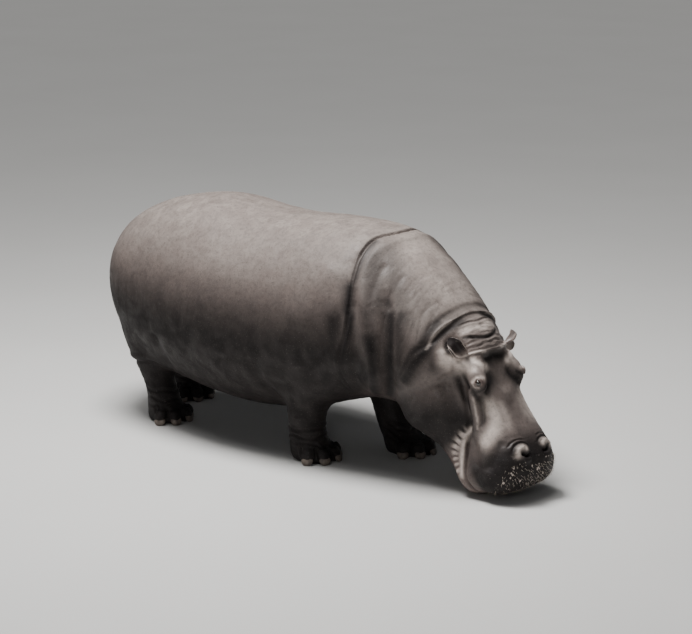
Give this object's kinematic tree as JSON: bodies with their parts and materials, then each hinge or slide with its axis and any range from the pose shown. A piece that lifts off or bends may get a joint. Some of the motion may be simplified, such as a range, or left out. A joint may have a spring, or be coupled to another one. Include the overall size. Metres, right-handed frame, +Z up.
{
  "type": "hippopotamus",
  "caption": "Life-size still model of an adult hippopotamus in mid stride, its head lowered so that the muzzle meets the ground; it stands on its own feet.",
  "frame": {"origin": "on the ground, under the middle of the animal's bounding box", "axes": "+X to the animal's front, +Y to its left, +Z up"},
  "size_m": [3.4826, 1.2532, 1.5174],
  "materials": {
    "skin": "bare grey-brown hide, finely pitted, slightly moist",
    "eye": "wet, near black brown",
    "nail": "worn pale horn",
    "bristle": "short pale bristles"
  },
  "bodies": {
    "root": {"trunk": "skin", "neck": "skin", "head": "skin", "jaw": "skin", "ear_right": "skin", "ear_left": "skin", "eye_right": "eye", "eye_left": "eye", "tail": "skin", "leg_front_right": "skin", "foot_front_right": "skin", "leg_front_left": "skin", "foot_front_left": "skin", "leg_hind_right": "skin", "foot_hind_right": "skin", "leg_hind_left": "skin", "foot_hind_left": "skin", "nail_front_right_1": "nail", "nail_front_right_2": "nail", "nail_front_right_3": "nail", "nail_front_right_4": "nail", "nail_front_left_1": "nail", "nail_front_left_2": "nail", "nail_front_left_3": "nail", "nail_front_left_4": "nail", "nail_hind_right_1": "nail", "nail_hind_right_2": "nail", "nail_hind_right_3": "nail", "nail_hind_right_4": "nail", "nail_hind_left_1": "nail", "nail_hind_left_2": "nail", "nail_hind_left_3": "nail", "nail_hind_left_4": "nail"}
  },
  "joints": []
}
